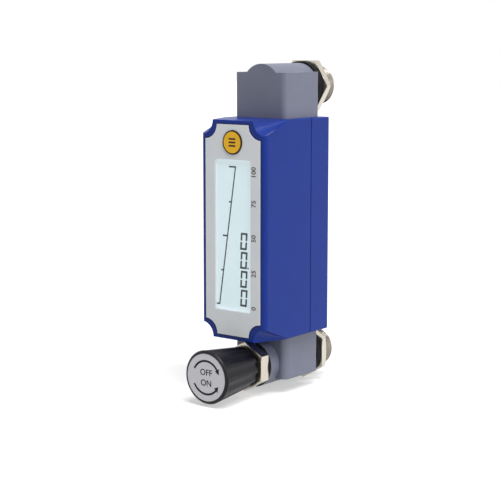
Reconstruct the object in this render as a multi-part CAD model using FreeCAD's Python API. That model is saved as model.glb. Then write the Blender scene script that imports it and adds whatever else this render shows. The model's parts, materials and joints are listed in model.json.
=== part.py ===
"""Digital flow meter for a panel, with a needle valve on its inlet.

Millimetres. X runs to the right, Y from the front to the back and Z up. The origin
lies midway between the two ports, on the front face of the panel that they pass
through. Depths are measured from the housing's front face, heights from its bottom.
"""
import FreeCAD
import Part

import math
import os

from FreeCAD import Vector

# Housing
SHELL_WIDTH = 40.5
SHELL_DEPTH = 54.4
SHELL_HEIGHT = 110.0
SHELL_WALL = 2.0
FRONT_EDGE_RADIUS = 2.2
REAR_EDGE_RADIUS = 1.6
RIM_RADIUS = 0.6
SEAM_DEPTH = 38.0
SCALLOP_RADIUS = 7.5
SCALLOP_LENGTH = 19.2
SCALLOP_START = 1.0
SEAL_THICKNESS = 0.5
SEAL_INSET = 0.35

# Clearances
FIT = 0.05
SLIP = 0.15
ROOM = 0.3

# Face label and window
LABEL_THICKNESS = 0.4
LABEL_SIDE_MARGIN = 3.1
LABEL_END_MARGIN = 2.2
LABEL_NOTCH_RADIUS = 7.3
WINDOW_WIDTH = 22.2
WINDOW_BOTTOM_MARGIN = 14.9
WINDOW_KEY_GAP = 2.7
WINDOW_SHIFT = 0.05
WINDOW_CORNER = 0.8
WINDOW_LIP = 1.4
WINDOW_SINK = 0.4

# Display and main board
DISPLAY_GAP = 0.1
DISPLAY_MARGIN = 0.6
DISPLAY_SEAT = 0.7
FRAME_WALL = 0.9
BACKLIGHT_THICKNESS = 3.9
CONTACT_WIDTH = 1.4
BOARD_THICKNESS = 1.6
BOARD_SIDE_GAP = 0.9
BOARD_END_GAP = 2.5
BOARD_CHAMFER = 6.0
BOARD_PART_HEIGHT = 2.4
BOARD_POST_DROP = 3.6
BOARD_POST_INSET = 0.5
SOCKET_EDGE = 1.0
SOCKET_HALF_HEIGHT = 1.5
PROCESSOR_SIDE = 10.0
PROCESSOR_THICKNESS = 1.2
PROCESSOR_GAP = 5.0
CRYSTAL_SIDE = 8.0
CRYSTAL_WIDTH = 3.0
CRYSTAL_THICKNESS = 1.0

# Key
KEY_RADIUS = 5.9
KEY_DROP = 10.9
KEY_SHIFT = 0.2
KEY_PROUD = 0.5
KEY_COLLAR = 0.5
KEY_COLLAR_THICKNESS = 1.0
KEY_STEM_RADIUS = 1.8
KEY_TRAVEL = 0.4
KEY_EDGE = 0.3
DOME_RADIUS = 3.5
DOME_HEIGHT = 0.7

# Small screws: shank radius, head radius, head height and length
BOARD_SCREW = (1.0, 1.9, 1.3, 5.0)
SENSOR_SCREW = (1.0, 1.9, 1.3, 4.5)
COVER_SCREW = (1.5, 2.75, 2.2, 14.0)
BLOCK_SCREW = (1.25, 2.2, 2.5, 28.0)
KNOB_SCREW = (1.5, 2.75, 2.5, 8.0)
POST_WALL = 1.0
COVER_POST_HEIGHT = 13.5
COVER_POST_WALL = 1.7
COVER_POST_LENGTH = 12.0
COVER_SCREW_DEPTH = 8.0
SCREW_SOCKET = 0.75
SCREW_SOCKET_DEPTH = 0.6

# Battery
CELL_RADIUS = 7.1
CELL_LENGTH = 50.0
CELL_TIP = 0.35
HOLDER_BASE = 1.2
HOLDER_WALL = 1.4
HOLDER_SIDE = 5.0
HOLDER_HEIGHT = 11.0
HOLDER_SIDE_GAP = 1.5
CONTACT_THICKNESS = 0.4
CONTACT_SPRING = 1.6
CONTACT_HALF = 4.2

# Flow body, inside the housing
CHANNEL_RADIUS = 5.0
CHANNEL_STEP = 1.0
CHANNEL_SEAL_GAP = 1.2
COLUMN_WALL = 4.0
FLANGE_INSET = 2.0
FLANGE_SIDE = 0.8
FLANGE_THICKNESS = 8.0
ELEMENT_START = 30.0
ELEMENT_LENGTH = 24.0
ELEMENT_HOLE = 0.7
ELEMENT_RINGS = 2
ELEMENT_HOLE_PITCH = 1.75
SENSOR_FLANGE_GAP = 6.0
SENSOR_POCKET_RADIUS = 4.6
SENSOR_POCKET_DEPTH = 2.0
SENSOR_SEAL_GAP = 0.8
SENSOR_BOARD_THICKNESS = 1.0
SENSOR_BOARD_LENGTH = 24.0
SENSOR_BOARD_INSET = 0.6
SENSOR_SCREW_OFFSET = 9.6
SENSOR_TAP_RADIUS = 0.8
SENSOR_TAP_OFFSET = 3.0
CHIP_SIZE = 3.6
CHIP_THICKNESS = 1.2
RIBBON_WIDTH = 8.0
RIBBON_THICKNESS = 0.3
SEAL_SECTION = 1.5
SEAL_SQUEEZE = 0.1

# Port blocks
BLOCK_WIDTH = 31.6
BLOCK_START = 22.8
BLOCK_BACK_GAP = 3.9
BLOCK_HEIGHT = 22.8
BLOCK_RIGHT_RADIUS = 3.6
BLOCK_LEFT_RADIUS = 0.5
BLOCK_REAR_RADIUS = 1.2
PORT_OFFSET = 15.3
BOSS_RADIUS = 11.8
BOSS_REACH = 4.5
PASSAGE_RADIUS = 3.0
BLOCK_HEAD_SINK = 0.5

# Threaded ports, washers and nuts
STUD_RADIUS = 10.0
STUD_LENGTH = 14.6
STUD_CHAMFER = 0.8
SHANK_RADIUS = 9.0
SHANK_LENGTH = 11.0
PORT_THREAD_RADIUS = 5.72
PORT_THREAD_LENGTH = 12.0
PORT_CHAMFER = 0.6
WASHER_RADIUS = 12.7
WASHER_THICKNESS = 4.0
NUT_FLATS = 26.0
NUT_THICKNESS = 4.0
NUT_CHAMFER = 0.7
CORNER_ASIDE = 0
FLAT_ASIDE = 30

# Needle valve
VALVE_BOSS_RADIUS = 11.8
VALVE_BOSS_REACH = 6.6
BONNET_FLATS = 22.2
BONNET_HEX = 6.1
BONNET_COLLAR_RADIUS = 9.9
BONNET_RING_RADIUS = 11.6
BONNET_RING_THICKNESS = 1.5
BONNET_SHANK_RADIUS = 8.0
BONNET_SHANK_LENGTH = 11.8
BONNET_NECK_RADIUS = 5.5
BONNET_NECK_LENGTH = 4.5
BONNET_CHAMFER = 0.6
PISTON_RADIUS = 4.9
PISTON_LENGTH = 6.4
SPINDLE_THREAD_RADIUS = 3.45
SPINDLE_STEM_RADIUS = 3.0
SPINDLE_END_RADIUS = 2.5
SPINDLE_SEAL_SECTION = 1.3
VALVE_LIFT = 2.2
CHAMBER_RADIUS = 5.5
SEAT_RADIUS = 4.5
SEAT_THICKNESS = 3.0
SEAT_HOLE = 2.1
SEAT_MARGIN = 1.05
NEEDLE_TIP = 1.0
NEEDLE_LENGTH = 3.4
NEEDLE_GAP = 0.1

# Knob
KNOB_FRONT_RADIUS = 13.6
KNOB_REAR_RADIUS = 10.7
KNOB_LENGTH = 28.0
KNOB_GAP = 2.1
KNOB_EDGE = 1.0
KNOB_COLLAR = 2.2
KNOB_FLUTES = 12
FLUTE_RADIUS = 6.0
FLUTE_DEPTH = 0.5
KNOB_HOLLOW_RADIUS = 8.2
KNOB_HOLLOW_DEPTH = 9.0
KNOB_SEAT_DEPTH = 11.0
DISC_RADIUS = 11.9
DISC_THICKNESS = 0.7
DISC_SINK = 0.15

# Places worked out from the sizes above
BLOCK_END = SHELL_DEPTH - BLOCK_BACK_GAP
BOSS_END = BLOCK_END + BOSS_REACH
PANEL_DEPTH = BOSS_END + WASHER_THICKNESS
STUD_END = PANEL_DEPTH + STUD_LENGTH
BLOCK_CENTRE = (BLOCK_START + BLOCK_END) / 2
FRONT_SEAM = SEAM_DEPTH - SEAL_THICKNESS / 2
REAR_SEAM = SEAM_DEPTH + SEAL_THICKNESS / 2
DISPLAY_FRONT = WINDOW_SINK + DISPLAY_GAP
DISPLAY_BACK = SHELL_WALL + DISPLAY_SEAT
BOARD_FRONT = DISPLAY_BACK + BACKLIGHT_THICKNESS
BOARD_BACK = BOARD_FRONT + BOARD_THICKNESS
BOARD_HALF_WIDTH = SHELL_WIDTH / 2 - SHELL_WALL - BOARD_SIDE_GAP
KEY_HEIGHT = SHELL_HEIGHT - KEY_DROP
WINDOW_TOP = KEY_HEIGHT - KEY_RADIUS - WINDOW_KEY_GAP
WINDOW_BOTTOM = WINDOW_BOTTOM_MARGIN
WINDOW_LEFT = WINDOW_SHIFT - WINDOW_WIDTH / 2
WINDOW_RIGHT = WINDOW_SHIFT + WINDOW_WIDTH / 2
KEY_HOLE_RADIUS = KEY_RADIUS + SLIP
KEY_COLLAR_RADIUS = KEY_HOLE_RADIUS + KEY_COLLAR
COLUMN_HALF = CHANNEL_RADIUS + COLUMN_WALL
COLUMN_FRONT = BLOCK_CENTRE - COLUMN_HALF
FLANGE_HALF_WIDTH = BLOCK_WIDTH / 2 - FLANGE_SIDE
FLANGE_FRONT = BLOCK_START + FLANGE_INSET
FLANGE_BACK = BLOCK_END - FLANGE_INSET
BLOCK_SCREW_X = FLANGE_HALF_WIDTH - BLOCK_SCREW[1] - POST_WALL / 2
BLOCK_SCREW_DEPTHS = (FLANGE_FRONT + BLOCK_SCREW[1] + POST_WALL, FLANGE_BACK - BLOCK_SCREW[1] - POST_WALL)
BLOCK_HEAD_DEPTH = BLOCK_SCREW[2] + BLOCK_HEAD_SINK
CHANNEL_SEAL_RADIUS = CHANNEL_RADIUS + CHANNEL_SEAL_GAP
SENSOR_HEIGHT = SHELL_HEIGHT - FLANGE_THICKNESS - SENSOR_FLANGE_GAP - SENSOR_BOARD_LENGTH / 2
SENSOR_BOARD_FRONT = COLUMN_FRONT - SENSOR_BOARD_THICKNESS
CELL_DEPTH = BOARD_BACK + FIT + HOLDER_BASE + SLIP + CELL_RADIUS
CELL_START = WINDOW_BOTTOM
CELL_SPACING = 2 * (SHELL_WIDTH / 2 - SHELL_WALL - HOLDER_SIDE_GAP - SLIP - CELL_RADIUS)
VALVE_BOSS_START = BLOCK_START - VALVE_BOSS_REACH
BONNET_BACK = VALVE_BOSS_START - BONNET_RING_THICKNESS
BONNET_FRONT = BONNET_BACK - BONNET_HEX
NECK_END = BONNET_FRONT - BONNET_NECK_LENGTH
BONNET_END = VALVE_BOSS_START + BONNET_SHANK_LENGTH
SEAT_END = BLOCK_CENTRE + PASSAGE_RADIUS + SEAT_MARGIN
CHAMBER_END = SEAT_END - SEAT_THICKNESS
SHANK_START = BOSS_END - SHANK_LENGTH
PISTON_END = BONNET_END - ROOM * 4
PISTON_START = PISTON_END - PISTON_LENGTH
PISTON_ROOM = PISTON_START - VALVE_LIFT - ROOM
KNOB_BACK = BONNET_FRONT - KNOB_GAP
KNOB_FRONT = KNOB_BACK - KNOB_LENGTH
KNOB_SLOPE = (KNOB_FRONT_RADIUS - KNOB_REAR_RADIUS) / KNOB_LENGTH
KNOB_HOLLOW_END = KNOB_BACK - KNOB_HOLLOW_DEPTH
KNOB_SEAT_FRONT = KNOB_HOLLOW_END - KNOB_SEAT_DEPTH
DISC_BACK = KNOB_FRONT + DISC_SINK + DISC_THICKNESS

FORWARD = Vector(0, -1, 0)
BACKWARD = Vector(0, 1, 0)
UP = Vector(0, 0, 1)
DOWN = Vector(0, 0, -1)


def at(x, depth, height):
    """Turns a depth and a height of the housing into a point of the part's frame."""
    return Vector(x, depth - PANEL_DEPTH, height - SHELL_HEIGHT / 2)


def box(x, depth, height):
    """A box from three pairs of limits."""
    corner = at(x[0], depth[0], height[0])
    return Part.makeBox(x[1] - x[0], depth[1] - depth[0], height[1] - height[0], corner)


def rod(radius, start, end, x=0.0, height=0.0):
    """A cylinder along the depth, between two depths."""
    return Part.makeCylinder(radius, end - start, at(x, start, height), BACKWARD)


def taper(start_radius, end_radius, start, end, x=0.0, height=0.0):
    """A cone along the depth, between two depths."""
    return Part.makeCone(start_radius, end_radius, end - start, at(x, start, height), BACKWARD)


def post(radius, x, depth, bottom, top):
    """A cylinder along the height."""
    return Part.makeCylinder(radius, top - bottom, at(x, depth, bottom), UP)


def tube(outer, inner, start, end, x=0.0, height=0.0):
    return rod(outer, start, end, x, height).cut(rod(inner, start, end, x, height))


def joined(shapes):
    """One solid from overlapping ones, without the seams between them."""
    first, *others = shapes
    return first.fuse(others).removeSplitter() if others else first


def edges_along(shape, direction, test=lambda middle: True):
    """The straight edges of a shape that run along a direction and pass a test of their middle."""
    found = []
    for edge in shape.Edges:
        if not isinstance(edge.Curve, Part.Line):
            continue
        run = edge.Vertexes[-1].Point.sub(edge.Vertexes[0].Point)
        run.normalize()
        if abs(run.dot(direction)) > 0.999 and test(edge.CenterOfMass):
            found.append(edge)
    return found


def rounded_box(x, depth, height, radius, direction):
    """A box with round edges along one direction."""
    shape = box(x, depth, height)
    return shape.makeFillet(radius, edges_along(shape, direction))


def hexagon(flats, depths, height, turn, chamfer, both_ends):
    """A hexagonal bar along the depth with its front end or both its ends chamfered."""
    start, end = depths
    corner_radius = flats / math.sqrt(3)
    centre = at(0, start, height)
    points = []
    for index in range(7):
        angle = math.radians(60 * index + turn)
        points.append(centre + Vector(corner_radius * math.cos(angle), 0, corner_radius * math.sin(angle)))
    bar = Part.Face(Part.makePolygon(points)).extrude(Vector(0, end - start, 0))
    slope = corner_radius - flats / 2
    reach = corner_radius + slope
    front = taper(reach - 2 * slope, reach, start, start + chamfer * 2, 0, height)
    if not both_ends:
        return bar.common(joined([front, rod(reach, start + chamfer * 2, end, 0, height)]))
    middle = rod(reach, start + chamfer * 2, end - chamfer * 2, 0, height)
    back = taper(reach, reach - 2 * slope, end - chamfer * 2, end, 0, height)
    return bar.common(joined([front, middle, back]))


def screw(size, seat, direction):
    """A socket head screw whose head sits on a point and whose shank runs along a direction."""
    shank_radius, head_radius, head_height, length = size
    shank = Part.makeCylinder(shank_radius, length, seat, direction)
    head = Part.makeCylinder(head_radius, head_height, seat, direction * -1)
    socket_top = seat - direction * head_height
    depth = head_height * SCREW_SOCKET_DEPTH
    socket = Part.makeCylinder(shank_radius * SCREW_SOCKET, depth, socket_top, direction)
    return joined([shank, head]).cut(socket)


def shell_outside():
    """The housing's outer form, before it is split into its two halves."""
    half = SHELL_WIDTH / 2
    shape = box((-half, half), (0, SHELL_DEPTH), (0, SHELL_HEIGHT))
    middle = at(0, SHELL_DEPTH / 2, 0).y
    shape = shape.makeFillet(FRONT_EDGE_RADIUS, edges_along(shape, UP, lambda point: point.y < middle))
    back = at(0, SHELL_DEPTH, 0).y - FIT
    shape = shape.makeFillet(REAR_EDGE_RADIUS, edges_along(shape, UP, lambda point: point.y > back))
    rim = [edge for edge in shape.Edges if abs(edge.CenterOfMass.y - back) < REAR_EDGE_RADIUS
           and abs(abs(edge.CenterOfMass.z) - SHELL_HEIGHT / 2) < FIT]
    shape = shape.makeFillet(RIM_RADIUS, rim)
    for scallop in scallops(0.0):
        shape = shape.cut(scallop)
    return shape


def scallops(wall):
    """Tapering hollows at the four front corners, made larger by a wall for the inside."""
    slope = math.atan2(SCALLOP_RADIUS, SCALLOP_LENGTH)
    radius = SCALLOP_RADIUS + wall / math.cos(slope)
    length = radius / math.tan(slope)
    tip_radius = FIT
    start_radius = radius + SCALLOP_START * math.tan(slope)
    shapes = []
    for x in (-SHELL_WIDTH / 2, SHELL_WIDTH / 2):
        for height in (0, SHELL_HEIGHT):
            shapes.append(taper(start_radius, tip_radius, -SCALLOP_START, length, x, height))
    return shapes


def shell_inside():
    """The room inside the housing."""
    half = SHELL_WIDTH / 2 - SHELL_WALL
    depths = (SHELL_WALL, SHELL_DEPTH - SHELL_WALL)
    heights = (SHELL_WALL, SHELL_HEIGHT - SHELL_WALL)
    shape = rounded_box((-half, half), depths, heights, FRONT_EDGE_RADIUS / 2, UP)
    for scallop in scallops(SHELL_WALL):
        shape = shape.cut(scallop)
    return shape


def flange_openings():
    """The openings in the housing's top and bottom for the flow body."""
    x = (-FLANGE_HALF_WIDTH - ROOM, FLANGE_HALF_WIDTH + ROOM)
    depths = (FLANGE_FRONT - ROOM, FLANGE_BACK + ROOM)
    reach = SHELL_WALL + ROOM
    bottom = rounded_box(x, depths, (-reach, reach), SLIP * 2, UP)
    top = rounded_box(x, depths, (SHELL_HEIGHT - reach, SHELL_HEIGHT + reach), SLIP * 2, UP)
    return [bottom, top]


def shell_slice(start, end):
    """The part of the housing's wall between two depths."""
    margin = SHELL_WIDTH
    slab = box((-margin, margin), (start, end), (-margin, SHELL_HEIGHT + margin))
    wall = shell_outside().cut(shell_inside()).common(slab)
    return wall.cut(flange_openings())


def cover_post_places():
    """Where the rear cover's screws stand, as pairs of x and height."""
    x = SHELL_WIDTH / 2 - SHELL_WALL - COVER_SCREW[0] - COVER_POST_WALL / 2
    heights = (COVER_POST_HEIGHT, SHELL_HEIGHT - COVER_POST_HEIGHT)
    return [(side * x, height) for side in (-1, 1) for height in heights]


def board_post_places():
    """Where the main board's screws stand, as pairs of x and height."""
    radius = BOARD_SCREW[0] + POST_WALL
    lower_height = SHELL_WALL + BOARD_END_GAP + radius + BOARD_SCREW[0]
    lower = (BOARD_HALF_WIDTH - BOARD_CHAMFER - radius / 2, lower_height)
    upper = (BOARD_HALF_WIDTH - radius - BOARD_POST_INSET, KEY_HEIGHT - BOARD_POST_DROP)
    return [(side * x, height) for side in (-1, 1) for x, height in (lower, upper)]


def front_housing():
    shell = shell_slice(-SHELL_WALL, FRONT_SEAM)
    posts = []
    radius = BOARD_SCREW[0] + POST_WALL
    for x, height in board_post_places():
        posts.append(rod(radius, SHELL_WALL / 2, BOARD_FRONT, x, height))
    radius = COVER_SCREW[0] + COVER_POST_WALL
    for x, height in cover_post_places():
        posts.append(rod(radius, SEAM_DEPTH - COVER_POST_LENGTH, FRONT_SEAM, x, height))
    shell = joined([shell] + posts)
    for x, height in board_post_places():
        shell = shell.cut(rod(BOARD_SCREW[0] + FIT, SHELL_WALL, BOARD_FRONT, x, height))
    for x, height in cover_post_places():
        shell = shell.cut(rod(COVER_SCREW[0] + FIT, SEAM_DEPTH - COVER_POST_LENGTH, SEAM_DEPTH, x, height))
    x, heights = display_limits(DISPLAY_MARGIN + SLIP)
    shell = shell.cut([window_body(SLIP), box(x, (0, SHELL_WALL), heights)])
    return shell.cut(rod(KEY_HOLE_RADIUS, -SHELL_WALL, SHELL_WALL * 2, KEY_SHIFT, KEY_HEIGHT))


def rear_cover():
    shell = shell_slice(REAR_SEAM, SHELL_DEPTH + SHELL_WALL)
    radius = COVER_SCREW[1] + COVER_POST_WALL / 2
    posts = []
    for x, height in cover_post_places():
        posts.append(rod(radius, REAR_SEAM, SHELL_DEPTH - SHELL_WALL / 2, x, height))
    half = SHELL_WIDTH / 2 - SHELL_WALL / 2
    room = box((-half, half), (REAR_SEAM, SHELL_DEPTH), (0, SHELL_HEIGHT))
    shell = joined([shell] + [pillar.common(room) for pillar in posts])
    for x, height in cover_post_places():
        shell = shell.cut(rod(COVER_SCREW[0] + SLIP, SEAM_DEPTH, SHELL_DEPTH, x, height))
        head_seat = SHELL_DEPTH - COVER_SCREW_DEPTH
        shell = shell.cut(rod(COVER_SCREW[1] + SLIP, head_seat, SHELL_DEPTH, x, height))
    return shell


def housing_seal():
    """Two strips in the seam, one at each side, between the openings of the flow body."""
    outside = shell_outside()
    margin = SHELL_WIDTH
    depths = (FRONT_SEAM, REAR_SEAM)
    half = SHELL_WIDTH / 2 - SEAL_INSET
    band = box((-half, half), depths, (SEAL_INSET, SHELL_HEIGHT - SEAL_INSET))
    slab = box((-margin, margin), depths, (0, SHELL_HEIGHT))
    ring = outside.common(slab).common(band).cut(shell_inside())
    return ring.cut(flange_openings())


def cover_screws():
    seat = SHELL_DEPTH - COVER_SCREW_DEPTH
    return [screw(COVER_SCREW, at(x, seat, height), FORWARD) for x, height in cover_post_places()]


def front_label():
    """The face label with a round notch at each corner."""
    half = SHELL_WIDTH / 2 - LABEL_SIDE_MARGIN
    heights = (LABEL_END_MARGIN, SHELL_HEIGHT - LABEL_END_MARGIN)
    label = box((-half, half), (-LABEL_THICKNESS, 0), heights)
    for x in (-half, half):
        for height in heights:
            label = label.cut(rod(LABEL_NOTCH_RADIUS, -LABEL_THICKNESS, 0, x, height))
    label = label.cut(window_body(SLIP))
    return label.cut(rod(KEY_HOLE_RADIUS, -LABEL_THICKNESS, 0, KEY_SHIFT, KEY_HEIGHT))


def window_body(gap):
    """The window, whose lip lies sunk in the housing under the label, made larger round by a gap."""
    x = (WINDOW_LEFT - gap, WINDOW_RIGHT + gap)
    heights = (WINDOW_BOTTOM - gap, WINDOW_TOP + gap)
    pane = rounded_box(x, (-LABEL_THICKNESS, WINDOW_SINK), heights, WINDOW_CORNER, BACKWARD)
    x = (WINDOW_LEFT - WINDOW_LIP - gap, WINDOW_RIGHT + WINDOW_LIP + gap)
    heights = (WINDOW_BOTTOM - WINDOW_LIP - gap, WINDOW_TOP + WINDOW_LIP + gap)
    lip = rounded_box(x, (0, WINDOW_SINK), heights, WINDOW_CORNER, BACKWARD)
    return joined([pane, lip])


def display_limits(margin):
    x = (WINDOW_LEFT - margin, WINDOW_RIGHT + margin)
    return x, (WINDOW_BOTTOM - margin, WINDOW_TOP + margin)


def display_panel():
    x, heights = display_limits(DISPLAY_MARGIN)
    return box(x, (DISPLAY_FRONT, DISPLAY_BACK), heights)


def contact_limits():
    """The limits of the contact strips at the two long sides of the display."""
    x, heights = display_limits(DISPLAY_MARGIN)
    left = (x[0], x[0] + CONTACT_WIDTH)
    right = (x[1] - CONTACT_WIDTH, x[1])
    inset = CONTACT_WIDTH * 2
    return left, right, (heights[0] + inset, heights[1] - inset)


def display_connectors():
    left, right, heights = contact_limits()
    depths = (DISPLAY_BACK, BOARD_FRONT)
    return [box(left, depths, heights), box(right, depths, heights)]


def display_frame():
    """The holder round the display, with the light guide as its floor."""
    x, heights = display_limits(DISPLAY_MARGIN + SLIP + FRAME_WALL)
    frame = box(x, (SHELL_WALL + SLIP, BOARD_FRONT), heights)
    x, heights = display_limits(DISPLAY_MARGIN + SLIP)
    frame = frame.cut(box(x, (SHELL_WALL, DISPLAY_BACK), heights))
    left, right, heights = contact_limits()
    slots = []
    for side in (left, right):
        x = (side[0] - FIT, side[1] + FIT)
        slots.append(box(x, (SHELL_WALL, BOARD_FRONT), (heights[0] - FIT, heights[1] + FIT)))
    key_room = rod(KEY_COLLAR_RADIUS + ROOM, SHELL_WALL, BOARD_FRONT, KEY_SHIFT, KEY_HEIGHT)
    return frame.cut(slots + [key_room])


def main_board():
    """The circuit board with its parts and the socket of the sensor's lead."""
    half = BOARD_HALF_WIDTH
    bottom = SHELL_WALL + BOARD_END_GAP
    top = SHELL_HEIGHT - bottom
    cut = BOARD_CHAMFER
    outline = [(-half, bottom + cut), (-half + cut, bottom), (half - cut, bottom), (half, bottom + cut),
               (half, top - cut), (half - cut, top), (-half + cut, top), (-half, top - cut)]
    points = [at(x, BOARD_FRONT, height) for x, height in outline]
    board = Part.Face(Part.makePolygon(points + points[:1])).extrude(BACKWARD * BOARD_THICKNESS)
    for x, height in board_post_places():
        board = board.cut(rod(BOARD_SCREW[0] + SLIP, BOARD_FRONT, BOARD_BACK, x, height))
    start = BOARD_BACK - FIT
    socket = ribbon_socket(start, BOARD_BACK + BOARD_PART_HEIGHT)
    half = PROCESSOR_SIDE / 2
    bottom = SENSOR_HEIGHT + PROCESSOR_GAP
    depths = (start, BOARD_BACK + PROCESSOR_THICKNESS)
    processor = box((-half, half), depths, (bottom, bottom + PROCESSOR_SIDE))
    x = (CRYSTAL_SIDE, CRYSTAL_SIDE + CRYSTAL_WIDTH)
    heights = (SENSOR_HEIGHT - CRYSTAL_SIDE / 2, SENSOR_HEIGHT + CRYSTAL_SIDE / 2)
    crystal = box(x, (start, BOARD_BACK + CRYSTAL_THICKNESS), heights)
    board = joined([board, socket, processor, crystal])
    return board.cut(ribbon(FIT))


def ribbon_socket(start, end):
    """The socket of the sensor's lead on a board, between two depths."""
    half = RIBBON_WIDTH / 2 + SOCKET_EDGE
    heights = (SENSOR_HEIGHT - SOCKET_HALF_HEIGHT, SENSOR_HEIGHT + SOCKET_HALF_HEIGHT)
    return box((-half, half), (start, end), heights)


def board_screws():
    return [screw(BOARD_SCREW, at(x, BOARD_BACK, height), FORWARD) for x, height in board_post_places()]


def mode_key():
    """The round key with its stem, which a collar keeps in the housing."""
    front = -LABEL_THICKNESS - KEY_PROUD
    cap = rod(KEY_RADIUS, front, SHELL_WALL + SLIP, KEY_SHIFT, KEY_HEIGHT)
    rim = [edge for edge in cap.Edges if edge.CenterOfMass.y < at(0, front, 0).y + FIT]
    cap = cap.makeFillet(KEY_EDGE, rim[:1])
    collar_front = SHELL_WALL + SLIP
    collar = rod(KEY_COLLAR_RADIUS, collar_front, collar_front + KEY_COLLAR_THICKNESS, KEY_SHIFT, KEY_HEIGHT)
    stem_end = BOARD_FRONT - DOME_HEIGHT - KEY_TRAVEL - FIT
    stem = rod(KEY_STEM_RADIUS, SHELL_WALL, stem_end, KEY_SHIFT, KEY_HEIGHT)
    return joined([cap, collar, stem])


def key_dome():
    """The snap dome on the board, which the key's stem presses."""
    sphere_radius = (DOME_RADIUS ** 2 + DOME_HEIGHT ** 2) / (2 * DOME_HEIGHT)
    centre = at(KEY_SHIFT, BOARD_FRONT - DOME_HEIGHT + sphere_radius, KEY_HEIGHT)
    ball = Part.makeSphere(sphere_radius, centre)
    front = BOARD_FRONT - DOME_HEIGHT * 2
    return ball.common(rod(DOME_RADIUS + 1, front, BOARD_FRONT, KEY_SHIFT, KEY_HEIGHT))


def cell_limits():
    """The room for the cells with their contacts, as a pair of heights."""
    reach = CONTACT_THICKNESS + CONTACT_SPRING
    return CELL_START - reach, CELL_START + CELL_LENGTH + reach


def battery_holder():
    base_front = BOARD_BACK + FIT
    bottom, top = cell_limits()
    half = CELL_SPACING / 2 + CELL_RADIUS + SLIP
    base = box((-half, half), (base_front, base_front + HOLDER_BASE), (bottom, top))
    wall_end = base_front + HOLDER_BASE + HOLDER_HEIGHT
    walls = [box((-half, half), (base_front, wall_end), (bottom - HOLDER_WALL, bottom)),
             box((-half, half), (base_front, wall_end), (top, top + HOLDER_WALL))]
    side_end = base_front + HOLDER_BASE + HOLDER_SIDE
    inner = CELL_SPACING / 2 - CELL_RADIUS - SLIP
    rib = box((-inner, inner), (base_front, side_end), (bottom, top))
    return joined([base, rib] + walls)


def battery_cells():
    cells = []
    for x in (-CELL_SPACING / 2, CELL_SPACING / 2):
        cell = post(CELL_RADIUS, x, CELL_DEPTH, CELL_START, CELL_START + CELL_LENGTH - CONTACT_SPRING)
        start = CELL_START + CELL_LENGTH - CONTACT_SPRING
        tip = post(CELL_RADIUS * CELL_TIP, x, CELL_DEPTH, start, start + CONTACT_SPRING)
        cells.append(joined([cell, tip]))
    return cells


def battery_contacts():
    """A plate and a spring under each cell and a plate over it."""
    bottom, top = cell_limits()
    half = CONTACT_HALF
    contacts = []
    for x in (-CELL_SPACING / 2, CELL_SPACING / 2):
        depths = (CELL_DEPTH - half, CELL_DEPTH + half / 2)
        lower = box((x - half, x + half), depths, (bottom + FIT, bottom + CONTACT_THICKNESS))
        spring = Part.makeCone(half * 0.9, half * 0.4, CONTACT_SPRING - FIT,
                               at(x, CELL_DEPTH, bottom + CONTACT_THICKNESS), UP)
        upper = box((x - half, x + half), depths, (top - CONTACT_THICKNESS, top - FIT))
        pad = post(half * 0.5, x, CELL_DEPTH, CELL_START + CELL_LENGTH + FIT, top - CONTACT_THICKNESS)
        contacts += [joined([lower, spring]), joined([upper, pad])]
    return contacts


def ribbon(gap):
    """The flat lead from the main board to the sensor's board, made larger by a gap."""
    half = RIBBON_WIDTH / 2 + gap
    thick = RIBBON_THICKNESS / 2 + gap
    depths = (BOARD_BACK + FIT, SENSOR_BOARD_FRONT - FIT)
    return box((-half, half), depths, (SENSOR_HEIGHT - thick, SENSOR_HEIGHT + thick))


def seal_groove(height, start_radius, upward):
    """A ring groove round the channel, cut into a face of a port block."""
    depth = SEAL_SECTION - SEAL_SQUEEZE
    outer = post(start_radius + SEAL_SECTION, 0, BLOCK_CENTRE, height, height + depth)
    ring = outer.cut(post(start_radius, 0, BLOCK_CENTRE, height, height + depth))
    if not upward:
        ring.translate(DOWN * depth)
    return ring


def ring_seal(height, start_radius, upward):
    """A round ring for a groove, flush with the face that it seals."""
    section = (SEAL_SECTION - SEAL_SQUEEZE) / 2
    centre_height = height + section if upward else height - section
    ring_radius = start_radius + SEAL_SECTION / 2
    return Part.makeTorus(ring_radius, section - FIT / 2, at(0, BLOCK_CENTRE, centre_height), UP)


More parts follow.
